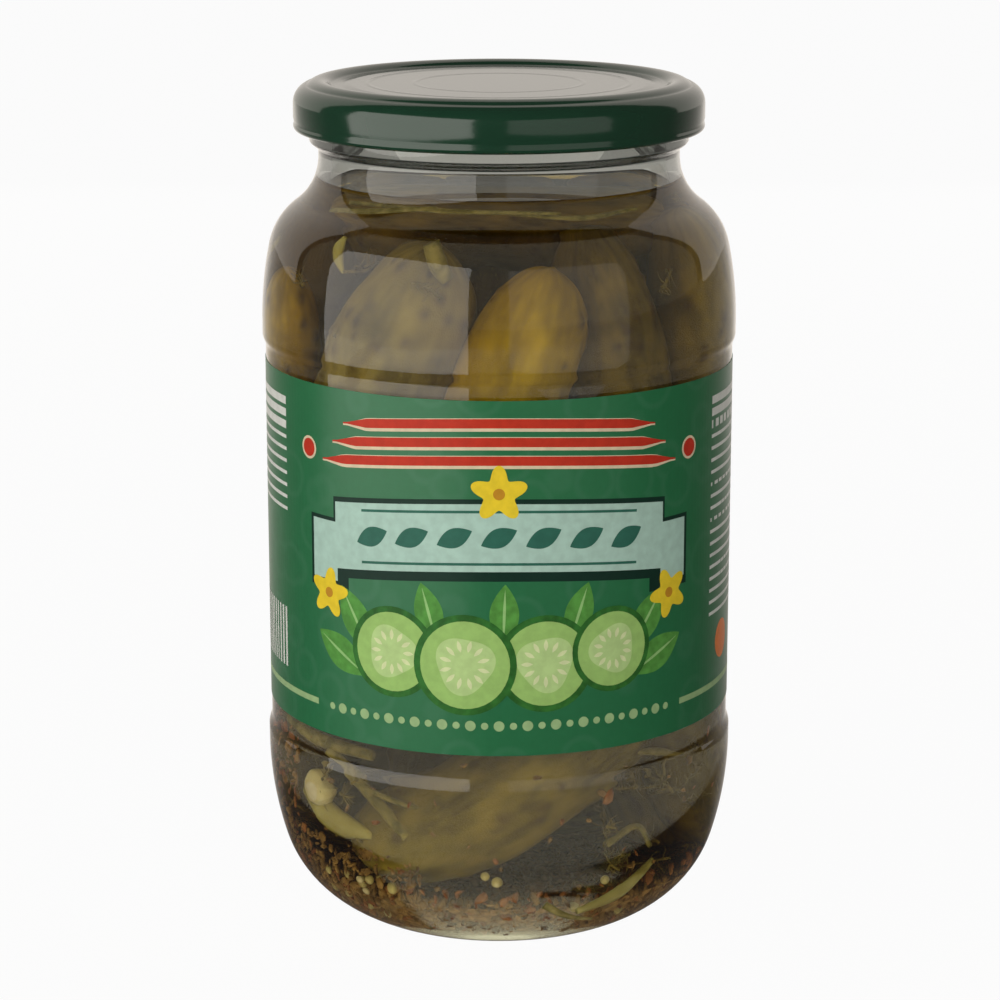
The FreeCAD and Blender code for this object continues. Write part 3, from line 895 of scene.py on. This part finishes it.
PAPER = 0.13
sleeve = [(LABEL_RADIUS - PAPER, LABEL_LOW), (LABEL_RADIUS, LABEL_LOW),
          (LABEL_RADIUS, LABEL_HIGH), (LABEL_RADIUS - PAPER, LABEL_HIGH)]
piece("label_sleeve", ring_around(sleeve), make_paper(), replaces=["label"], smooth=False)

# %% [markdown]
# ## The print
# The print is drawn flat first, in millimetres along and up the label, and then wrapped on
# the cylinder: a point s along becomes the angle s / radius. Each ink is one mesh, at most a
# sixth of a millimetre above the paper, so inks can overlap without sharing a place.

# %% Drawing ink
INK_STEP = 0.015


def wrapped(flat, layer):
    """Flat points (s, z) on the cylinder of the label's radius plus one ink step a layer."""
    radius = LABEL_RADIUS + INK_STEP * layer
    angle = flat[..., 0] / LABEL_RADIUS
    return np.stack([radius * np.sin(angle), -radius * np.cos(angle), flat[..., 1]], axis=-1)


def patch(centre, edge, layer=1, rings=5):
    """Shape drawn round a centre: rings of the edge shrunk evenly towards it."""
    centre, edge = np.asarray(centre, float), np.asarray(edge, float)
    share = np.linspace(1, 0, rings + 1)[:-1, None, None]
    grid = wrapped(centre + share * (edge - centre), layer)
    rows, columns, _ = grid.shape
    vertices = np.vstack([grid.reshape(-1, 3), wrapped(centre, layer)[None]])
    column = np.arange(columns)
    tip = np.column_stack([(rows - 1) * columns + column, (rows - 1) * columns + (column + 1) % columns,
                           np.full(columns, rows * columns)])
    return vertices, tube_faces(rows, columns).tolist() + tip.tolist()


def stripe(along, middle, width, layer=1):
    """Band that follows a line: middle and width are its height and breadth at each s."""
    half = np.broadcast_to(np.asarray(width, float) / 2, np.shape(along))
    middle = np.broadcast_to(np.asarray(middle, float), np.shape(along))
    rows = np.stack([middle - half, middle, middle + half])
    grid = wrapped(np.stack([np.broadcast_to(along, rows.shape), rows], axis=-1), layer)
    return grid.reshape(-1, 3), sheet_faces(3, len(along)).tolist()


def disc(centre, radius, count=40):
    """Edge of a circle, counter-clockwise."""
    angle = np.linspace(0, 2 * np.pi, count, endpoint=False)
    return np.asarray(centre) + radius * np.column_stack([np.cos(angle), np.sin(angle)])


def petals(centre, radius, number, depth, turn=0.0, count=90):
    """Edge of a blossom: the circle's radius times 1 + depth cos(number a)."""
    angle = np.linspace(0, 2 * np.pi, count, endpoint=False)
    swell = radius * (1 + depth * np.cos(number * (angle - math.radians(turn))))
    return np.asarray(centre) + swell[:, None] * np.column_stack([np.cos(angle), np.sin(angle)])


def blade(root, tip, width, count=24):
    """Edge of a leaf from root to tip: half width * sin(pi t) on either side of its vein."""
    root, tip = np.asarray(root, float), np.asarray(tip, float)
    t = np.linspace(0, 1, count)[:, None]
    way = (tip - root) / np.linalg.norm(tip - root)
    side = np.array([-way[1], way[0]])
    bulge = width / 2 * np.sin(np.pi * t) ** 0.9
    right = root + t * (tip - root) - bulge * side
    left = root + t * (tip - root) + bulge * side
    return np.vstack([right, left[-2:0:-1]])


def ink(name, colour, rough=0.35, mottle=0.12):
    """Printing ink: its colour, mottled a little darker by a fine noise."""
    low = tuple(c * (1 - mottle) for c in colour)
    return plant(name, low, colour, rough=rough, scale=500.0, bump=0.02)

# %% [markdown]
# The design is a generic one: three red stripes, a pale ribbon across the middle, a fan of
# cucumber slices on leaves with three yellow blossoms, and a pale rule with dots below.

# %% Stripes and ribbon
RIBBON_HALF = 37
RIBBON_LEVEL = 92.0


def arch(along):
    """Height of the print's shallow arch: a quarter wave of cosine over the ribbon's half."""
    return 2.6 * np.cos(along / RIBBON_HALF * np.pi / 2)


front = np.linspace(-RIBBON_HALF, RIBBON_HALF, 60)
red_shapes, cream_shapes = [], []
for level, half in ((118.0, 34), (114.2, 37), (110.4, 40)):
    along = np.linspace(-half, half, 60)
    middle = level + arch(along) - 2.6
    taper = np.clip((half - np.abs(along)) / 6, 0.15, 1)
    red_shapes.append(stripe(along, middle, 1.9 * taper, 3))
    cream_shapes.append(stripe(along, middle - 0.25, 2.7 * taper, 2))
for spot in ((-44.5, 109.0), (44.5, 109.0)):
    red_shapes.append(patch(spot, disc(spot, 1.9), 3))
    cream_shapes.append(patch(spot, disc(spot, 2.4), 2))
piece("print_red", joined(red_shapes), ink("ink_red", (0.52, 0.035, 0.016)))
piece("print_cream", joined(cream_shapes), ink("ink_cream", (0.72, 0.6, 0.42)))

ribbon_middle = RIBBON_LEVEL + arch(front)
dark_shapes = [stripe(front, ribbon_middle - 0.5, 17.0, 2)]
pale_shapes = [stripe(front * 0.985, ribbon_middle, 14.0, 4)]
for side in (-1, 1):
    along = np.linspace(side * 33, side * 44, 12)[:: side]
    dark_shapes.append(stripe(along, 88.0, 15.0, 1))
    along = np.linspace(side * 36, side * 43.2, 10)[:: side]
    pale_shapes.append(stripe(along, 88.5, 12.4, 3))
piece("print_dark", joined(dark_shapes), ink("ink_dark", (0.006, 0.03, 0.02)))
piece("print_pale_blue", joined(pale_shapes), ink("ink_pale_blue", (0.42, 0.62, 0.54)))
seal = [stripe(front[6:-6], ribbon_middle[6:-6] + step, 0.55, 5) for step in (-5.4, 5.4)]
for s in np.linspace(-27, 27, 7):
    middle = RIBBON_LEVEL + arch(s)
    seal.append(patch((s, middle), blade((s - 3.6, middle - 1.6), (s + 3.6, middle + 1.6), 4.0), 5))
piece("print_ribbon_line", joined(seal), ink("ink_ribbon_line", (0.03, 0.14, 0.1)))

# %% [markdown]
# Cucumber slices are drawn as three discs: rind, flesh and a seed star. The leaves behind
# them are blades with a lighter vein.

# %% Slices, leaves and blossoms
SLICES = [(-22.5, 69.5, 9.6), (-7.0, 68.0, 10.6), (9.5, 68.2, 10.2), (24.0, 70.0, 9.0)]
rind, flesh_ink, core, seeds = [], [], [], []
for number, (s, z, radius) in enumerate(SLICES):
    layer = 4 + 4 * (number % 2)
    rind.append(patch((s, z), disc((s, z), radius), layer))
    flesh_ink.append(patch((s, z), disc((s, z), radius * 0.87), layer + 1))
    core.append(patch((s, z), petals((s, z), radius * 0.56, 3, 0.1, 20 * number), layer + 2))
    for turn in np.radians(np.arange(0, 360, 30) + 15 * number):
        inner, outer = radius * 0.26, radius * 0.5
        way = np.array([math.cos(turn), math.sin(turn)])
        middle = np.array([s, z]) + way * (inner + outer) / 2
        seeds.append(patch(middle, blade(np.array([s, z]) + way * inner, np.array([s, z]) + way * outer,
                                         0.9, 10), layer + 3, 2))
piece("print_rind", joined(rind), ink("ink_rind", (0.035, 0.17, 0.03), mottle=0.4))
piece("print_flesh", joined(flesh_ink), ink("ink_flesh", (0.33, 0.55, 0.16)))
piece("print_core", joined(core), ink("ink_core", (0.47, 0.66, 0.27)))
piece("print_seeds", joined(seeds), ink("ink_seeds", (0.68, 0.76, 0.42)))

leaves, veins = [], []
for s, z, lean, length, width in ((-33, 66, 150, 15, 7), (-30, 73, 120, 15, 7), (-14, 77, 105, 13, 6),
                                  (1, 77, 88, 13, 6), (16, 77, 72, 13, 6), (31, 73, 55, 15, 7),
                                  (33, 66, 25, 15, 7)):
    way = np.array([math.cos(math.radians(lean)), math.sin(math.radians(lean))])
    root, tip = np.array([s, z]) - way * 5, np.array([s, z]) + way * (length - 5)
    leaves.append(patch((root + tip) / 2, blade(root, tip, width), 1))
    veins.append(patch((root + tip) / 2, blade(root + way, tip - way, 0.6), 2, 2))
piece("print_leaves", joined(leaves), ink("ink_leaf", (0.1, 0.33, 0.06), mottle=0.3))
piece("print_veins", joined(veins), ink("ink_vein", (0.3, 0.55, 0.2)))

yellow, hearts = [], []
for s, z, radius, turn in ((-38.5, 79.5, 4.2, 10), (38.5, 79.5, 4.2, 40), (0.0, 103.6, 4.6, 18)):
    yellow.append(patch((s, z), petals((s, z), radius, 5, 0.28, turn), 6))
    hearts.append(patch((s, z), disc((s, z), radius * 0.26, 20), 7, 2))
piece("print_yellow", joined(yellow), ink("ink_yellow", (0.83, 0.62, 0.03)))
piece("print_hearts", joined(hearts), ink("ink_heart", (0.55, 0.26, 0.02)))

# %% [markdown]
# The pale rule runs all round near the bottom. Away from the front it carries the small
# matter of any label, here only plain bars: a block of lines, a box of stripes and a disc.

# %% Rule, bars and disc
rule = np.linspace(-155, 155, 180)
pale_green = [stripe(rule[rule < -42], 55.2, 1.3, 1), stripe(rule[rule > 42], 55.2, 1.3, 1)]
pale_green += [patch((s, 55.2), disc((s, 55.2), 0.75 + 0.35 * (k % 2), 20), 1, 2)
               for k, s in enumerate(np.linspace(-38, 38, 27))]
piece("print_rule", joined(pale_green), ink("ink_rule", (0.33, 0.5, 0.24)))

draw = np.random.default_rng(8)
bars = []
for k, z in enumerate(np.linspace(117, 71, 19)):
    for edge, far in ((54, 92), (-54, -84)):
        stop = edge + (far - edge) * draw.uniform(0.72, 1.0)
        if far > 0 or z > 92:
            along = np.linspace(min(edge, stop), max(edge, stop), 14)
            bars.append(stripe(along, z + 0 * along, 1.7 if k < 3 else 0.75, 1))
for s in np.linspace(-80, -56, 15):
    along = np.array([s, s + draw.uniform(0.5, 1.2)])
    bars.append(stripe(along, np.array([66.0, 66.0]), 13.0, 1))
piece("print_white", joined(bars), ink("ink_white", (0.74, 0.76, 0.72)))
orange = [patch((62.0, 64.0), disc((62.0, 64.0), 4.2), 1)]
piece("print_orange", joined(orange), ink("ink_orange", (0.85, 0.2, 0.015)))

# %% [markdown]
# ## Table, backdrop and light
# The jar stands on white with white behind. Both glow by kind of ray: nearly white for the
# camera, which leaves hardly any shadow to see, and by chosen shares for rays through the
# glass and off its face. For rays that spread from matt things they are plain matt white.

# %% Table and backdrop
def plane(name, corners, material):
    """Flat sheet through four corners in metres, given counter-clockwise as seen."""
    mesh = bpy.data.meshes.new(name)
    mesh.from_pydata(corners, [], [(0, 1, 2, 3)])
    mesh.materials.append(material)
    made = bpy.data.objects.new(name, mesh)
    scene.collection.objects.link(made)
    return made


WARM = (1.0, 0.93, 0.85)


def white_sheet(name, matt, shares, open_front):
    """Matt white that glows for some rays: shares gives each kind of ray its part of glow.

    Rays through clear glass count as glossy too, so mirror rays are glossy less transmission.

    With open_front, mirror rays pass through it, to the lamps beyond, except behind the jar:
    there y over the size of x runs from 0.35 to 2.4 and the glow comes in with it.
    """
    material, tree, shader, output = start(name)
    finish(shader, Base_Color=(matt, matt, matt, 1), Roughness=0.9)
    path = add(tree, "ShaderNodeLightPath")
    camera_ray, through_ray = path.outputs["Is Camera Ray"], path.outputs["Is Transmission Ray"]
    bounced = reckon(tree, "SUBTRACT", path.outputs["Is Glossy Ray"], through_ray, use_clamp=True)
    kinds = {"camera": camera_ray, "through": through_ray, "mirror": bounced}
    total = None
    for kind, share in shares.items():
        if kind == "through" and open_front:
            # Painted light: seen through the glass, the table glows in a pool round the jar. Its share
            # falls from the given one at 0.12 m from the axis to 0.3 at 0.6 m.
            away = add(tree, "ShaderNodeVectorMath", {0: here(tree)}, operation="LENGTH")
            share = add(tree, "ShaderNodeMapRange", {"Value": away.outputs["Value"]}, From_Min=0.12,
                        From_Max=0.6, To_Min=share, To_Max=0.3).outputs[0]
        part = reckon(tree, "MULTIPLY", kinds[kind], share)
        total = reckon(tree, "ADD", total, part) if total else part
    tone = blend(tree, camera_ray, WARM, (1.0, 1.0, 1.0))
    glow = add(tree, "ShaderNodeEmission", {"Color": tone}, Strength=1.0).outputs[0]
    mix = add(tree, "ShaderNodeMixShader", {0: total, 1: shader.outputs[0], 2: glow})
    if open_front:
        spot = add(tree, "ShaderNodeSeparateXYZ", {0: here(tree)})
        aside = reckon(tree, "ABSOLUTE", spot.outputs["X"])
        ratio = reckon(tree, "DIVIDE", spot.outputs["Y"], aside)
        behind = add(tree, "ShaderNodeMapRange", {"Value": ratio}, From_Min=0.35, From_Max=2.4)
        clear = add(tree, "ShaderNodeBsdfTransparent")
        mirror = add(tree, "ShaderNodeMixShader", {0: behind.outputs[0], 1: clear.outputs[0], 2: glow})
        mix = add(tree, "ShaderNodeMixShader", {0: bounced, 1: mix.outputs[0], 2: mirror.outputs[0]})
    tree.links.new(mix.outputs[0], output.inputs["Surface"])
    return material


table_white = white_sheet("table_white", 0.6, {"camera": 0.96, "through": 0.95}, True)
backdrop_white = white_sheet("backdrop_white", 0.6, {
    "camera": 1.0, "mirror": 0.83, "through": 0.12}, False)
table = plane("table", [(-6, -6, 0), (6, -6, 0), (6, 6, 0), (-6, 6, 0)], table_white)
backdrop = plane("backdrop", [(-6, 3, 0), (6, 3, 0), (6, 3, 6), (-6, 3, 6)], backdrop_white)

# %% [markdown]
# Two softboxes light it. The large one at the left makes the bright bands down the glass
# and the lid, and a dimmer one at the right opens the shadows. Two fills, in front and behind,
# leave no reflection, and no lamp is seen through the glass. The sky adds a little.

# %% Softboxes and sky
def softbox(name, azimuth, distance, height, size, power):
    """Rectangular lamp that faces the jar; azimuth runs from the front towards the right."""
    lamp = bpy.data.lights.new(name, "AREA")
    lamp.shape = "RECTANGLE"
    lamp.size, lamp.size_y = size
    lamp.energy = power
    lamp.color = (1.0, 0.965, 0.91)
    made = bpy.data.objects.new(name, lamp)
    scene.collection.objects.link(made)
    turn = math.radians(azimuth)
    made.location = (distance * math.sin(turn), -distance * math.cos(turn), height)
    made.rotation_euler = (math.radians(90), 0, turn)
    made.visible_camera = False
    made.visible_transmission = False
    return made


SKY_THROUGH, SKY_ELSE = 0.5, 0.08
softbox("softbox_left", -52, 0.9, 0.325, (1.4, 0.99), 9.0)
softbox("softbox_right", 34, 1.2, 0.36, (1.35, 0.98), 2.1)
for name, azimuth, distance, height, size, power in (
        ("fill_front", 10, 1.1, 0.55, (0.9, 0.7), 4.6), ("fill_back", 180, 1.1, 0.4, (1.6, 0.7), 4.0)):
    fill = softbox(name, azimuth, distance, height, size, power)
    fill.visible_glossy = False

world = bpy.data.worlds.new("pale_sky")
scene.world = world
world.use_nodes = True
sky = world.node_tree
sky.nodes.clear()
path = add(sky, "ShaderNodeLightPath")
through = add(sky, "ShaderNodeMapRange", {"Value": path.outputs["Is Transmission Ray"]},
              To_Min=SKY_ELSE, To_Max=SKY_THROUGH)
seen = reckon(sky, "MAXIMUM", through.outputs[0], path.outputs["Is Camera Ray"])
tone = blend(sky, path.outputs["Is Camera Ray"], WARM, (1.0, 1.0, 1.0))
glow = add(sky, "ShaderNodeBackground", {"Strength": seen, "Color": tone})
add(sky, "ShaderNodeOutputWorld", {"Surface": glow.outputs[0]})

# %% [markdown]
# The camera stands about 0.65 m in front and a little above, looking down by 14 degrees
# through a long lens.

# %% Camera and view
lens = bpy.data.cameras.new("camera")
lens.lens = 112.94
lens.sensor_width = 36.0
lens.shift_x = 0.00094
lens.clip_end = 50.0
camera = bpy.data.objects.new("camera", lens)
camera.location = (0.0, -0.65488, 0.25367)
camera.rotation_euler = (math.radians(75.975), 0.0, 0.0)
scene.collection.objects.link(camera)
scene.camera = camera
scene.view_settings.view_transform = "Standard"
